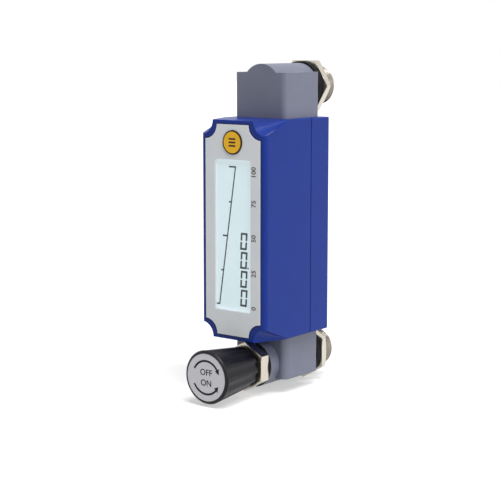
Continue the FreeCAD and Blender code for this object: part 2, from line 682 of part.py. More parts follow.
def flow_body():
    """The metal body between the two blocks, with the flow channel and the sensor's pocket."""
    depths = (BLOCK_CENTRE - COLUMN_HALF, BLOCK_CENTRE + COLUMN_HALF)
    column = box((-COLUMN_HALF, COLUMN_HALF), depths, (0, SHELL_HEIGHT))
    x = (-FLANGE_HALF_WIDTH, FLANGE_HALF_WIDTH)
    depths = (FLANGE_FRONT, FLANGE_BACK)
    lower = box(x, depths, (0, FLANGE_THICKNESS))
    upper = box(x, depths, (SHELL_HEIGHT - FLANGE_THICKNESS, SHELL_HEIGHT))
    body = joined([column, lower, upper])
    body = body.cut(post(CHANNEL_RADIUS - CHANNEL_STEP, 0, BLOCK_CENTRE, 0, SHELL_HEIGHT))
    body = body.cut(post(CHANNEL_RADIUS, 0, BLOCK_CENTRE, ELEMENT_START, SHELL_HEIGHT))
    pocket_end = COLUMN_FRONT + SENSOR_POCKET_DEPTH
    body = body.cut(rod(SENSOR_POCKET_RADIUS, COLUMN_FRONT, pocket_end, 0, SENSOR_HEIGHT))
    for side in (-1, 1):
        height = SENSOR_HEIGHT + side * SENSOR_TAP_OFFSET
        body = body.cut(rod(SENSOR_TAP_RADIUS, COLUMN_FRONT, BLOCK_CENTRE, 0, height))
        height = SENSOR_HEIGHT + side * SENSOR_SCREW_OFFSET
        end = COLUMN_FRONT + SENSOR_SCREW[3]
        body = body.cut(rod(SENSOR_SCREW[0] + FIT, COLUMN_FRONT, end, 0, height))
    body = body.cut(sensor_ring(SENSOR_POCKET_DEPTH / 2, 0))
    grip = BLOCK_SCREW[3] - BLOCK_HEIGHT + BLOCK_HEAD_DEPTH + ROOM
    for x in (-BLOCK_SCREW_X, BLOCK_SCREW_X):
        for depth in BLOCK_SCREW_DEPTHS:
            body = body.cut(post(BLOCK_SCREW[0] + FIT, x, depth, 0, grip))
            body = body.cut(post(BLOCK_SCREW[0] + FIT, x, depth, SHELL_HEIGHT - grip, SHELL_HEIGHT))
    return body


def sensor_ring(depth, gap):
    """The ring round the sensor's pocket, as deep as it is told."""
    inner = SENSOR_POCKET_RADIUS + SENSOR_SEAL_GAP + gap
    outer = inner + SEAL_SECTION - 2 * gap
    return tube(outer, inner, COLUMN_FRONT, COLUMN_FRONT + depth, 0, SENSOR_HEIGHT)


def flow_element():
    """A cylinder with many fine holes, which stands on the step of the channel."""
    radius = CHANNEL_RADIUS - FIT
    end = ELEMENT_START + ELEMENT_LENGTH
    element = post(radius, 0, BLOCK_CENTRE, ELEMENT_START, end)
    holes = []
    for ring in range(ELEMENT_RINGS + 1):
        ring_radius = ring * ELEMENT_HOLE_PITCH
        count = max(1, 6 * ring)
        for index in range(count):
            angle = 2 * math.pi * index / count
            x = ring_radius * math.cos(angle)
            depth = BLOCK_CENTRE + ring_radius * math.sin(angle)
            holes.append(post(ELEMENT_HOLE, x, depth, ELEMENT_START, end))
    return element.cut(holes)


def sensor_board():
    half = COLUMN_HALF - SENSOR_BOARD_INSET
    reach = SENSOR_BOARD_LENGTH / 2
    depths = (SENSOR_BOARD_FRONT, COLUMN_FRONT)
    board = box((-half, half), depths, (SENSOR_HEIGHT - reach, SENSOR_HEIGHT + reach))
    for side in (-1, 1):
        height = SENSOR_HEIGHT + side * SENSOR_SCREW_OFFSET
        board = board.cut(rod(SENSOR_SCREW[0] + SLIP, depths[0], depths[1], 0, height))
    socket = ribbon_socket(SENSOR_BOARD_FRONT - BOARD_PART_HEIGHT, SENSOR_BOARD_FRONT + FIT)
    return joined([board, socket]).cut(ribbon(FIT))


def sensor_chip():
    half = CHIP_SIZE / 2
    depths = (COLUMN_FRONT, COLUMN_FRONT + CHIP_THICKNESS)
    return box((-half, half), depths, (SENSOR_HEIGHT - half, SENSOR_HEIGHT + half))


def sensor_seal():
    return sensor_ring(SENSOR_POCKET_DEPTH / 2 - FIT, FIT)


def sensor_screws():
    heights = (SENSOR_HEIGHT - SENSOR_SCREW_OFFSET, SENSOR_HEIGHT + SENSOR_SCREW_OFFSET)
    return [screw(SENSOR_SCREW, at(0, SENSOR_BOARD_FRONT, height), BACKWARD) for height in heights]


def upward_port(upward):
    """The heights of a block's inner face, outer face and port, above or below the housing."""
    base = SHELL_HEIGHT if upward else 0.0
    sign = 1 if upward else -1
    return base, base + sign * BLOCK_HEIGHT, base + sign * PORT_OFFSET


def span(first, second):
    return (min(first, second), max(first, second))


def block_form(upward):
    """A port block with its half-round boss, before its holes."""
    inner, outer, port = upward_port(upward)
    half = BLOCK_WIDTH / 2
    body = box((-half, half), (BLOCK_START, BLOCK_END), span(inner, outer))
    middle = at(0, BLOCK_CENTRE, 0).y
    right = edges_along(body, UP, lambda point: point.y < middle and point.x > 0)
    body = body.makeFillet(BLOCK_RIGHT_RADIUS, right)
    left = edges_along(body, UP, lambda point: point.y < middle and point.x < 0)
    body = body.makeFillet(BLOCK_LEFT_RADIUS, left)
    back = at(0, BLOCK_END, 0).y - FIT
    body = body.makeFillet(BLOCK_REAR_RADIUS, edges_along(body, UP, lambda point: point.y > back))
    boss = rod(BOSS_RADIUS, BLOCK_START, BOSS_END, 0, port)
    return joined([body, boss])


def drilled_block(body, upward):
    """The holes that both blocks have: port bore, channel, seal groove and screw holes."""
    inner, outer, port = upward_port(upward)
    body = body.cut(rod(SHANK_RADIUS + FIT, SHANK_START, BOSS_END, 0, port))
    low, high = span(inner, port)
    body = body.cut(post(PASSAGE_RADIUS, 0, BLOCK_CENTRE, low, high))
    body = body.cut(seal_groove(inner, CHANNEL_SEAL_RADIUS, upward))
    sign = 1 if upward else -1
    seat = outer - sign * BLOCK_HEAD_DEPTH
    for x in (-BLOCK_SCREW_X, BLOCK_SCREW_X):
        for depth in BLOCK_SCREW_DEPTHS:
            low, high = span(inner, outer)
            body = body.cut(post(BLOCK_SCREW[0] + SLIP, x, depth, low, high))
            low, high = span(seat, outer)
            body = body.cut(post(BLOCK_SCREW[1] + SLIP, x, depth, low, high))
    return body


def upper_block():
    body = drilled_block(block_form(True), True)
    port = upward_port(True)[2]
    return body.cut(rod(PASSAGE_RADIUS, BLOCK_CENTRE, SHANK_START, 0, port))


def lower_block():
    """The block with the valve: a boss for the bonnet, a chamber and a pocket for the seat."""
    port = upward_port(False)[2]
    boss = rod(VALVE_BOSS_RADIUS, VALVE_BOSS_START, BLOCK_END, 0, port)
    body = drilled_block(joined([block_form(False), boss]), False)
    body = body.cut(rod(BONNET_SHANK_RADIUS + FIT, VALVE_BOSS_START, BONNET_END, 0, port))
    body = body.cut(rod(CHAMBER_RADIUS, BONNET_END, CHAMBER_END, 0, port))
    body = body.cut(rod(SEAT_RADIUS + FIT, CHAMBER_END, SEAT_END, 0, port))
    return body.cut(rod(PASSAGE_RADIUS, SEAT_END, SHANK_START, 0, port))


def block_seal(upward):
    return ring_seal(upward_port(upward)[0], CHANNEL_SEAL_RADIUS, upward)


def block_screws(upward):
    outer = upward_port(upward)[1]
    sign = 1 if upward else -1
    seat = outer - sign * BLOCK_HEAD_DEPTH
    direction = DOWN if upward else UP
    screws = []
    for x in (-BLOCK_SCREW_X, BLOCK_SCREW_X):
        for depth in BLOCK_SCREW_DEPTHS:
            screws.append(screw(BLOCK_SCREW, at(x, depth, seat), direction))
    return screws


def fitting(upward):
    """A threaded port: a shank with a ring groove in the block, and the stud behind it."""
    port = upward_port(upward)[2]
    shank = rod(SHANK_RADIUS, SHANK_START, BOSS_END + FIT, 0, port)
    stud = rod(STUD_RADIUS, BOSS_END, STUD_END - STUD_CHAMFER, 0, port)
    end = taper(STUD_RADIUS, STUD_RADIUS - STUD_CHAMFER, STUD_END - STUD_CHAMFER, STUD_END, 0, port)
    body = joined([shank, stud, end])
    groove = tube(SHANK_RADIUS + FIT, SHANK_RADIUS - SEAL_SECTION, *fitting_groove(), 0, port)
    body = body.cut(groove)
    body = body.cut(rod(PASSAGE_RADIUS, SHANK_START, STUD_END, 0, port))
    body = body.cut(rod(PORT_THREAD_RADIUS, STUD_END - PORT_THREAD_LENGTH, STUD_END, 0, port))
    mouth = taper(PORT_THREAD_RADIUS, PORT_THREAD_RADIUS + PORT_CHAMFER, STUD_END - PORT_CHAMFER, STUD_END,
                  0, port)
    return body.cut(mouth)


def fitting_groove():
    """The two depths of the ring groove in the middle of a fitting's shank."""
    middle = SHANK_START + SHANK_LENGTH / 2
    return middle - SEAL_SECTION / 2 - SLIP, middle + SEAL_SECTION / 2 + SLIP


def fitting_seal(upward):
    port = upward_port(upward)[2]
    section = SEAL_SECTION / 2
    middle = SHANK_START + SHANK_LENGTH / 2
    return Part.makeTorus(SHANK_RADIUS - section, section - FIT, at(0, middle, port), BACKWARD)


def panel_washer(upward):
    port = upward_port(upward)[2]
    return tube(WASHER_RADIUS, STUD_RADIUS + SLIP, BOSS_END, PANEL_DEPTH, 0, port)


def panel_nut(upward):
    """A thin nut, one with a corner to the side and the other with a flat."""
    port = upward_port(upward)[2]
    turn = CORNER_ASIDE if upward else FLAT_ASIDE
    depths = (PANEL_DEPTH, PANEL_DEPTH + NUT_THICKNESS)
    nut = hexagon(NUT_FLATS, depths, port, turn, NUT_CHAMFER, True)
    return nut.cut(rod(STUD_RADIUS + FIT, *depths, 0, port))


def valve_bonnet():
    """The hexagonal bonnet: neck and thread for the spindle, and a smooth bore for its seal."""
    port = upward_port(False)[2]
    depths = (BONNET_FRONT, BONNET_BACK)
    hexagonal = hexagon(BONNET_FLATS, depths, port, FLAT_ASIDE, BONNET_CHAMFER, False)
    neck = rod(BONNET_NECK_RADIUS, NECK_END, BONNET_FRONT + FIT, 0, port)
    collar = rod(BONNET_COLLAR_RADIUS, BONNET_BACK - FIT, VALVE_BOSS_START, 0, port)
    shank = rod(BONNET_SHANK_RADIUS, VALVE_BOSS_START - FIT, BONNET_END, 0, port)
    body = joined([hexagonal, neck, collar, shank])
    body = body.cut(rod(SPINDLE_THREAD_RADIUS + FIT, NECK_END, PISTON_ROOM, 0, port))
    return body.cut(rod(PISTON_RADIUS + FIT, PISTON_ROOM, BONNET_END, 0, port))


def bonnet_ring():
    port = upward_port(False)[2]
    return tube(BONNET_RING_RADIUS, BONNET_COLLAR_RADIUS + FIT, BONNET_BACK, VALVE_BOSS_START, 0, port)


def valve_seat():
    port = upward_port(False)[2]
    return tube(SEAT_RADIUS, SEAT_HOLE, CHAMBER_END, SEAT_END, 0, port)


def spindle_groove():
    """The two depths of the seal's groove in the middle of the piston."""
    middle = PISTON_START + PISTON_LENGTH / 2
    return middle - SPINDLE_SEAL_SECTION / 2, middle + SPINDLE_SEAL_SECTION / 2


def valve_spindle():
    """The spindle: knob end, thread, piston with its seal groove, stem and needle."""
    port = upward_port(False)[2]
    slope = (SPINDLE_STEM_RADIUS - NEEDLE_TIP) / NEEDLE_LENGTH
    cone_start = CHAMBER_END - (SPINDLE_STEM_RADIUS - SEAT_HOLE + NEEDLE_GAP) / slope
    cone_end = cone_start + NEEDLE_LENGTH
    body = joined([
        rod(SPINDLE_END_RADIUS, KNOB_SEAT_FRONT, KNOB_HOLLOW_END + FIT, 0, port),
        rod(SPINDLE_THREAD_RADIUS, KNOB_HOLLOW_END, PISTON_START + FIT, 0, port),
        rod(PISTON_RADIUS, PISTON_START, PISTON_END, 0, port),
        rod(SPINDLE_STEM_RADIUS, PISTON_END - FIT, cone_start + FIT / 10, 0, port),
        taper(SPINDLE_STEM_RADIUS, NEEDLE_TIP, cone_start, cone_end, 0, port)])
    floor = PISTON_RADIUS - SPINDLE_SEAL_SECTION
    body = body.cut(tube(PISTON_RADIUS + FIT, floor, *spindle_groove(), 0, port))
    thread_end = KNOB_SEAT_FRONT + KNOB_SCREW[3]
    return body.cut(rod(KNOB_SCREW[0] + FIT, KNOB_SEAT_FRONT, thread_end, 0, port))


def spindle_seal():
    """The ring in the piston's groove, with a square section that clears both its neighbours."""
    port = upward_port(False)[2]
    start, end = spindle_groove()
    floor = PISTON_RADIUS - SPINDLE_SEAL_SECTION
    return tube(PISTON_RADIUS - FIT / 2, floor + FIT, start + FIT, end - FIT, 0, port)


def knob_flute(index):
    """One shallow groove along the knob's tapered side, from its front collar to its back."""
    port = upward_port(False)[2]
    angle = 2 * math.pi * (index + 0.5) / KNOB_FLUTES
    outward = Vector(math.cos(angle), 0, math.sin(angle))
    offset = FLUTE_RADIUS - FLUTE_DEPTH
    start_radius = KNOB_FRONT_RADIUS - KNOB_SLOPE * KNOB_COLLAR
    front = at(0, KNOB_FRONT + KNOB_COLLAR, port) + outward * (start_radius + offset)
    back = at(0, KNOB_BACK, port) + outward * (KNOB_REAR_RADIUS + offset)
    run = back - front
    return Part.makeCylinder(FLUTE_RADIUS, run.Length + ROOM, front, run)


def valve_knob():
    """The tapered knob: flutes, a seat for the disc, a screw hole and a hollow at the back."""
    port = upward_port(False)[2]
    edge = KNOB_EDGE
    rim = KNOB_FRONT_RADIUS - edge * KNOB_SLOPE
    body = joined([
        taper(KNOB_FRONT_RADIUS - edge, rim, KNOB_FRONT, KNOB_FRONT + edge, 0, port),
        taper(rim, KNOB_REAR_RADIUS, KNOB_FRONT + edge, KNOB_BACK, 0, port)])
    body = body.cut([knob_flute(index) for index in range(KNOB_FLUTES)])
    body = body.cut(rod(DISC_RADIUS + FIT, KNOB_FRONT, DISC_BACK, 0, port))
    head_seat = KNOB_SEAT_FRONT
    body = body.cut(rod(KNOB_SCREW[1] + SLIP, DISC_BACK, head_seat - POST_WALL, 0, port))
    body = body.cut(rod(KNOB_SCREW[0] + SLIP, DISC_BACK, head_seat, 0, port))
    body = body.cut(rod(SPINDLE_END_RADIUS + FIT, head_seat, KNOB_BACK, 0, port))
    return body.cut(rod(KNOB_HOLLOW_RADIUS, KNOB_HOLLOW_END, KNOB_BACK, 0, port))


def knob_disc():
    port = upward_port(False)[2]
    return rod(DISC_RADIUS, DISC_BACK - DISC_THICKNESS, DISC_BACK, 0, port)


def knob_screw():
    port = upward_port(False)[2]
    return screw(KNOB_SCREW, at(0, KNOB_SEAT_FRONT - POST_WALL, port), BACKWARD)


def pieces():
    """Every node with its shape, or with the list of its separate solids."""
    return {
        "front_housing": front_housing(),
        "rear_cover": rear_cover(),
        "housing_seal": housing_seal(),
        "cover_screws": cover_screws(),
        "front_label": front_label(),
        "display_window": window_body(0),
        "display_panel": display_panel(),
        "display_frame": display_frame(),
        "display_connectors": display_connectors(),
        "main_board": main_board(),
        "board_screws": board_screws(),
        "mode_key": mode_key(),
        "key_dome": key_dome(),
        "battery_holder": battery_holder(),
        "battery_cells": battery_cells(),
        "battery_contacts": battery_contacts(),
        "flow_body": flow_body(),
        "flow_element": flow_element(),
        "sensor_board": sensor_board(),
        "sensor_chip": sensor_chip(),
        "sensor_seal": sensor_seal(),
        "sensor_screws": sensor_screws(),
        "sensor_ribbon": ribbon(0),
        "upper_block": upper_block(),
        "lower_block": lower_block(),
        "upper_block_seal": block_seal(True),
        "lower_block_seal": block_seal(False),
        "upper_block_screws": block_screws(True),
        "lower_block_screws": block_screws(False),
        "upper_fitting": fitting(True),
        "lower_fitting": fitting(False),
        "upper_fitting_seal": fitting_seal(True),
        "lower_fitting_seal": fitting_seal(False),
        "upper_washer": panel_washer(True),
        "lower_washer": panel_washer(False),
        "upper_nut": panel_nut(True),
        "lower_nut": panel_nut(False),
        "valve_bonnet": valve_bonnet(),
        "bonnet_ring": bonnet_ring(),
        "valve_seat": valve_seat(),
        "valve_spindle": valve_spindle(),
        "spindle_seal": spindle_seal(),
        "valve_knob": valve_knob(),
        "knob_disc": knob_disc(),
        "knob_screw": knob_screw(),
    }


def main():
    os.makedirs("parts", exist_ok=True)
    for name, shape in pieces().items():
        if isinstance(shape, list):
            shape = Part.makeCompound(shape)
        shape.exportStep(os.path.join("parts", name + ".step"))


main()
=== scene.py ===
"""Looks of the digital flow meter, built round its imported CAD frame.

Metres, with the front towards -Y, +X to the right and +Z up. Sizes of print, threads and
edges are written in millimetres and scaled by MM.
"""

import json
import math

import bmesh
import bpy
from mathutils import Matrix, Vector


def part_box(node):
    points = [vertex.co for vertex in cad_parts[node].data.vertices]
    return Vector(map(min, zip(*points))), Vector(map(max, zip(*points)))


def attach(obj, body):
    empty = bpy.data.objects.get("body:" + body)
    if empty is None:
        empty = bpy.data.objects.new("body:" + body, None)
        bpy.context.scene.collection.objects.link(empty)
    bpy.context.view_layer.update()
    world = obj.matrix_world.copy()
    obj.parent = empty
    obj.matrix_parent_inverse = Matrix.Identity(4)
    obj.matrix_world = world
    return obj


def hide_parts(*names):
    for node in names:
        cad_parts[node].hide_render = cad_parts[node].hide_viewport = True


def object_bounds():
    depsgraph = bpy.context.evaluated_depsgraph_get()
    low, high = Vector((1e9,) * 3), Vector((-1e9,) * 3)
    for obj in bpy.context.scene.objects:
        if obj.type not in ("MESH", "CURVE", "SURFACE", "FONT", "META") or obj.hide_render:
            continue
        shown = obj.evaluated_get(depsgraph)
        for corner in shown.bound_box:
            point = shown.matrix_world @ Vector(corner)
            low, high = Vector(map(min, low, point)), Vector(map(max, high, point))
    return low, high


MM = 0.001

# Camera, as fitted to the photograph
CAMERA_PLACE = (0.43624, -0.60410, 0.09517)
CAMERA_AZIMUTH = 37.976
CAMERA_ELEVATION = 8.518
CAMERA_LENS = 102.29
SENSOR = 36.0

# Light: the world's level on the object, and the level of white that the camera sees
WORLD_LEVEL = 0.34
WHITE_LEVEL = 1.0
FLOOR_GLOW = 0.45
FLOOR_HALF = 4.0

# Ports and their threads, in millimetres. The stud's thread starts at the block's rear face.
STUD_RADIUS = 10.0
STUD_START = -4.0
STUD_PITCH = 1.0
STUD_DEPTH = 0.5
STUD_CHAMFER = 0.8
SHANK_RADIUS = 9.0
PASSAGE_RADIUS = 3.0
PORT_RADIUS = 5.72
PORT_LENGTH = 12.0
PORT_MOUTH = 0.6
PORT_PITCH = 1.34
PORT_DEPTH = 0.6
SEAL_GROOVE_DEPTH = 1.5
SEAL_GROOVE_HALF = 0.9
SEGMENTS = 96
STEPS_PER_PITCH = 8

# Print in general
INK_THICKNESS = 0.03
TEXT_SHARE = 0.73

# Label: its round notches, dark outline and scale numbers as (words, drop below the window's top)
NOTCH_RADIUS = 7.3
LABEL_LINE = (0.02, 0.5)
NUMBERS = (("100", 5.6), ("75", 21.0), ("50", 38.1), ("25", 55.6), ("0", 73.0))
NUMBER_HEIGHT = 2.7
NUMBER_PLACE = 13.4

# Display, measured right and down from the corner of the window as the camera sees it
WINDOW_LEFT = -11.3
WINDOW_TOP = 35.5
RAMP_TOP = (13.25, 3.5)
RAMP_BOTTOM = (3.0, 73.0)
RAMP_WIDTH = 0.75
TICKS = ((3.5, 4.1), (21.0, 1.6), (38.1, 3.0), (55.6, 1.6), (73.0, 1.9))
TICK_WIDTH = 0.8
TICK_OVERLAP = 0.3
DIGITS = 4
DIGIT_PLACE = (16.05, 35.8)
DIGIT_PITCH = 9.5
DIGIT_WIDTH = 4.2
DIGIT_HEIGHT = 8.6
DIGIT_BAR = 1.05
DIGIT_GAP = 0.22
DIGIT_LEAN = 0.6
DIGIT_CORNER = 0.3
POINT_PLACE = (21.1, 53.4)
POINT_SIZE = 0.8

# Key: its dark rim and its sign of three bars
KEY_RIM = (5.3, 5.95)
KEY_RIM_DEPTH = 0.6
KEY_RIM_PROUD = 0.02
KEY_BARS = (-1.7, 0.0, 1.7)
KEY_BAR_HALF = 2.1
KEY_BAR_WIDTH = 0.85

# Knob: arcs as (radius, first angle, last angle), their arrow heads, and words with their heights
KNOB_ARCS = ((8.3, 153.0, 33.0), (8.4, 207.0, 318.0))
KNOB_ARC_WIDTH = 1.05
ARROW_HALF = 1.5
ARROW_DEGREES = 17
ARROW_TIP_OUT = 0.1
KNOB_WORDS = (("OFF", 2.4), ("ON", -2.9))
KNOB_WORD_HEIGHT = 3.2


def linear(red, green, blue):
    """A colour from 0 to 255 as a node socket takes it."""
    values = []
    for part in (red, green, blue):
        part /= 255
        values.append(part / 12.92 if part <= 0.04045 else ((part + 0.055) / 1.055) ** 2.4)
    return (*values, 1.0)


def shaded(colour, share):
    return (*(part * share for part in colour[:3]), 1.0)


# Materials

class Nodes:
    """A material's nodes with short ways to add and join them."""

    def __init__(self, name):
        self.material = bpy.data.materials.new(name)
        self.material.use_nodes = True
        self.tree = self.material.node_tree
        self.shader = self.tree.nodes["Principled BSDF"]
        self.place = self.add("ShaderNodeTexCoord").outputs["Object"]

    def add(self, kind, **values):
        node = self.tree.nodes.new(kind)
        for key, value in values.items():
            setattr(node, key, value)
        return node

    def join(self, start, end):
        self.tree.links.new(start, end)

    def noise(self, size, detail=3.0, stretch=(1, 1, 1)):
        """Noise with features of about a size in millimetres."""
        mapping = self.add("ShaderNodeMapping")
        mapping.inputs["Scale"].default_value = stretch
        self.join(self.place, mapping.inputs["Vector"])
        node = self.add("ShaderNodeTexNoise")
        node.inputs["Scale"].default_value = 1 / (size * MM)
        node.inputs["Detail"].default_value = detail
        self.join(mapping.outputs["Vector"], node.inputs["Vector"])
        return node.outputs["Fac"]

    def blend(self, factor, low, high, start=0.3, end=0.7):
        """Colours between low and high as a factor goes from start to end."""
        ramp = self.add("ShaderNodeValToRGB")
        ramp.color_ramp.elements[0].position = start
        ramp.color_ramp.elements[0].color = low
        ramp.color_ramp.elements[1].position = end
        ramp.color_ramp.elements[1].color = high
        self.join(factor, ramp.inputs["Fac"])
        return ramp.outputs["Color"]

    def spread(self, factor, low, high):
        """A number between low and high from a factor."""
        node = self.add("ShaderNodeMapRange")
        node.inputs["From Min"].default_value = 0.3
        node.inputs["From Max"].default_value = 0.7
        node.inputs["To Min"].default_value = low
        node.inputs["To Max"].default_value = high
        self.join(factor, node.inputs["Value"])
        return node.outputs["Result"]

    def bump(self, height, depth, strength=1.0):
        """Bump of a depth in millimetres."""
        node = self.add("ShaderNodeBump")
        node.inputs["Distance"].default_value = depth * MM
        node.inputs["Strength"].default_value = strength
        self.join(height, node.inputs["Height"])
        self.join(node.outputs["Normal"], self.shader.inputs["Normal"])


def surface(name, colour, roughness, grain=0.4, depth=0.02, shift=0.06, metallic=0.0, shine=0.5, patch=9.0):
    """A moulded or plated surface: soft patches of colour, uneven gloss and a fine grain."""
    nodes = Nodes(name)
    patches = nodes.noise(patch, 2.0)
    fine = nodes.noise(grain, 3.0)
    tint = nodes.blend(patches, shaded(colour, 1 - shift), shaded(colour, 1 + shift))
    nodes.join(tint, nodes.shader.inputs["Base Color"])
    nodes.join(nodes.spread(fine, roughness - 0.05, roughness + 0.05), nodes.shader.inputs["Roughness"])
    nodes.shader.inputs["Metallic"].default_value = metallic
    nodes.shader.inputs["Specular IOR Level"].default_value = shine
    nodes.bump(fine, depth)
    return nodes.material


def disc_surface(name, colour):
    """Satin aluminium with a fine speckle."""
    nodes = Nodes(name)
    fine = nodes.noise(0.22, 2.0)
    nodes.join(nodes.blend(fine, shaded(colour, 0.86), shaded(colour, 1.12), 0.35, 0.65),
               nodes.shader.inputs["Base Color"])
    nodes.join(nodes.spread(fine, 0.42, 0.56), nodes.shader.inputs["Roughness"])
    nodes.shader.inputs["Metallic"].default_value = 0.35
    nodes.bump(fine, 0.01)
    return nodes.material


def window_surface():
    """Clear plastic with a few faint wipe marks."""
    nodes = Nodes("window_clear")
    nodes.join(nodes.blend(nodes.noise(6.0), linear(226, 236, 238), linear(240, 246, 247)),
               nodes.shader.inputs["Base Color"])
    nodes.join(nodes.spread(nodes.noise(3.0, 4.0, (1, 1, 0.3)), 0.08, 0.16), nodes.shader.inputs["Roughness"])
    nodes.shader.inputs["Alpha"].default_value = 0.05
    return nodes.material


def display_with_painted_glow(low, high):
    """The panel, pale green blue in the middle, with a painted glow: whiter colour towards its edges, and an
    emission although it is no lamp.
    """
    nodes = Nodes("display_painted_glow")
    # painted glow: the colour turns whiter over a margin at the panel's edges
    edges = [painted_glow_share(nodes, axis, low, high, margin) for axis, margin in (("X", 2.0), ("Z", 3.0))]
    edge = nodes.add("ShaderNodeMath", operation="MAXIMUM")
    nodes.join(edges[0], edge.inputs[0])
    nodes.join(edges[1], edge.inputs[1])
    cloud = nodes.add("ShaderNodeMath", operation="MULTIPLY_ADD")
    nodes.join(nodes.noise(7.0, 2.0), cloud.inputs[0])
    cloud.inputs[1].default_value = 0.25
    nodes.join(edge.outputs[0], cloud.inputs[2])
    tint = nodes.blend(cloud.outputs[0], linear(188, 206, 210), linear(212, 224, 230), 0.05, 0.9)
    nodes.join(tint, nodes.shader.inputs["Base Color"])
    # painted glow: the panel's colour is also given off as light, although it is no lamp
    nodes.join(tint, nodes.shader.inputs["Emission Color"])
    nodes.shader.inputs["Emission Strength"].default_value = 0.42
    nodes.shader.inputs["Roughness"].default_value = 0.35
    nodes.bump(nodes.noise(0.3), 0.004)
    return nodes.material


def painted_glow_share(nodes, axis, low, high, margin):
    """Share of the panel's painted glow: 0 inside and up to 1 at the panel's two edges along an axis, over a
    margin in millimetres.
    """
    index = "XYZ".index(axis)
    half = (high[index] - low[index]) / 2
    split = nodes.add("ShaderNodeSeparateXYZ")
    nodes.join(nodes.place, split.inputs["Vector"])
    offset = nodes.add("ShaderNodeMath", operation="SUBTRACT")
    nodes.join(split.outputs[axis], offset.inputs[0])
    offset.inputs[1].default_value = (low[index] + high[index]) / 2
    size = nodes.add("ShaderNodeMath", operation="ABSOLUTE")
    nodes.join(offset.outputs[0], size.inputs[0])
    share = nodes.add("ShaderNodeMapRange")
    share.inputs["From Min"].default_value = half - margin * MM
    share.inputs["From Max"].default_value = half
    nodes.join(size.outputs[0], share.inputs["Value"])
    return share.outputs["Result"]


# Shapes

def finished(piece, material, body):
    piece.data.materials.clear()
    piece.data.materials.append(material)
    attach(piece, body)
    return piece


def new_piece(name, shape, material, body, sharp_degrees=35.0):
    """A piece from a bmesh, smooth except at sharp edges."""
    mesh = bpy.data.meshes.new(name)
    bmesh.ops.recalc_face_normals(shape, faces=shape.faces)
    shape.to_mesh(mesh)
    shape.free()
    for face in mesh.polygons:
        face.use_smooth = True
    mesh.set_sharp_from_angle(angle=math.radians(sharp_degrees))
    piece = bpy.data.objects.new(name, mesh)
    bpy.context.scene.collection.objects.link(piece)
    return finished(piece, material, body)


def add_plate(shape, outline, front, thickness=INK_THICKNESS):
    """A thin plate facing the front, from an outline of x and z in millimetres."""
    layers = []
    for depth in (front, front + thickness):
        layers.append([shape.verts.new((x * MM, depth * MM, z * MM)) for x, z in outline])
    near, far = layers
    shape.faces.new(near)
    shape.faces.new(far[::-1])
    for index in range(len(outline)):
        following = (index + 1) % len(outline)
        shape.faces.new((near[index], far[index], far[following], near[following]))


def add_band(shape, inner, outer, front, closed=True, thickness=INK_THICKNESS):
    """A thin flat band between two lists of x and z with the same number of points."""
    rings = []
    for depth in (front, front + thickness):
        for outline in (inner, outer):
            rings.append([shape.verts.new((x * MM, depth * MM, z * MM)) for x, z in outline])
    near_in, near_out, far_in, far_out = rings
    count = len(inner)
    for index in range(count if closed else count - 1):
        following = (index + 1) % count
        for first, second in ((near_in, near_out), (near_out, far_out), (far_out, far_in), (far_in, near_in)):
            shape.faces.new((first[index], second[index], second[following], first[following]))
    if not closed:
        for index in (0, count - 1):
            shape.faces.new((near_in[index], near_out[index], far_out[index], far_in[index]))


def circle_points(centre, radius, start, end, count):
    """Points of an arc from a start to an end angle in degrees."""
    points = []
    for index in range(count + 1):
        angle = math.radians(start + (end - start) * index / count)
        points.append((centre[0] + radius * math.cos(angle), centre[1] + radius * math.sin(angle)))
    return points


def stroke(start, end, width):
    """The outline of a straight line with a width."""
    run = Vector(end) - Vector(start)
    side = Vector((-run.y, run.x)).normalized() * width / 2
    return [tuple(Vector(start) + side), tuple(Vector(start) - side), tuple(Vector(end) - side),
            tuple(Vector(end) + side)]


def add_text(shape, words, height, centre, front, turn=0.0, weight=0.06, thickness=INK_THICKNESS):
    """Plain lettering whose capitals have a height, centred on an x and z and facing the front."""
    curve = bpy.data.curves.new("words", "FONT")
    curve.body = words
    curve.size = height / TEXT_SHARE * MM
    curve.align_x = "CENTER"
    curve.align_y = "CENTER"
    curve.extrude = thickness / 2 * MM
    curve.offset = weight * MM
    curve.resolution_u = 4
    holder = bpy.data.objects.new("words", curve)
    bpy.context.scene.collection.objects.link(holder)
    bpy.context.view_layer.update()
    mesh = bpy.data.meshes.new_from_object(holder)
    place = Matrix.Translation((centre[0] * MM, (front + thickness / 2) * MM, centre[1] * MM))
    upright = Matrix.Rotation(math.radians(90), 4, "X") @ Matrix.Rotation(math.radians(turn), 4, "Z")
    mesh.transform(place @ upright)
    shape.from_mesh(mesh)
    bpy.data.meshes.remove(mesh)
    bpy.data.objects.remove(holder)
    bpy.data.curves.remove(curve)


def refined(node, material, body="root", edge=0.25, segments=2, sharp_degrees=40.0):
    """A copy of a CAD node with small round edges, which stands for it."""
    shape = bmesh.new()
    shape.from_mesh(frame["nodes"][node].data)
    bmesh.ops.remove_doubles(shape, verts=shape.verts, dist=1e-6)
    bmesh.ops.dissolve_limit(shape, angle_limit=math.radians(0.5), verts=shape.verts, edges=shape.edges)
    limit = math.radians(sharp_degrees)
    edges = [item for item in shape.edges if len(item.link_faces) == 2 and item.calc_face_angle(0) > limit]
    bmesh.ops.bevel(shape, geom=edges, offset=edge * MM, segments=segments, profile=0.5, affect="EDGES",
                    clamp_overlap=True)
    piece = new_piece(node + "_finished", shape, material, body, 30.0)
    shading = piece.modifiers.new("even_shading", "WEIGHTED_NORMAL")
    shading.keep_sharp = True
    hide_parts(node)
    return piece


def node_box(node):
    """The lowest and highest corner of a node in millimetres."""
    low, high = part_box(node)
    return Vector(low) / MM, Vector(high) / MM


def wave(place):
    """A thread's profile from 0 at its crest to 1 at its root."""
    share = place % 1.0
    return min(1.0, max(0.0, (0.5 - abs(share - 0.5)) * 2.6 - 0.15))


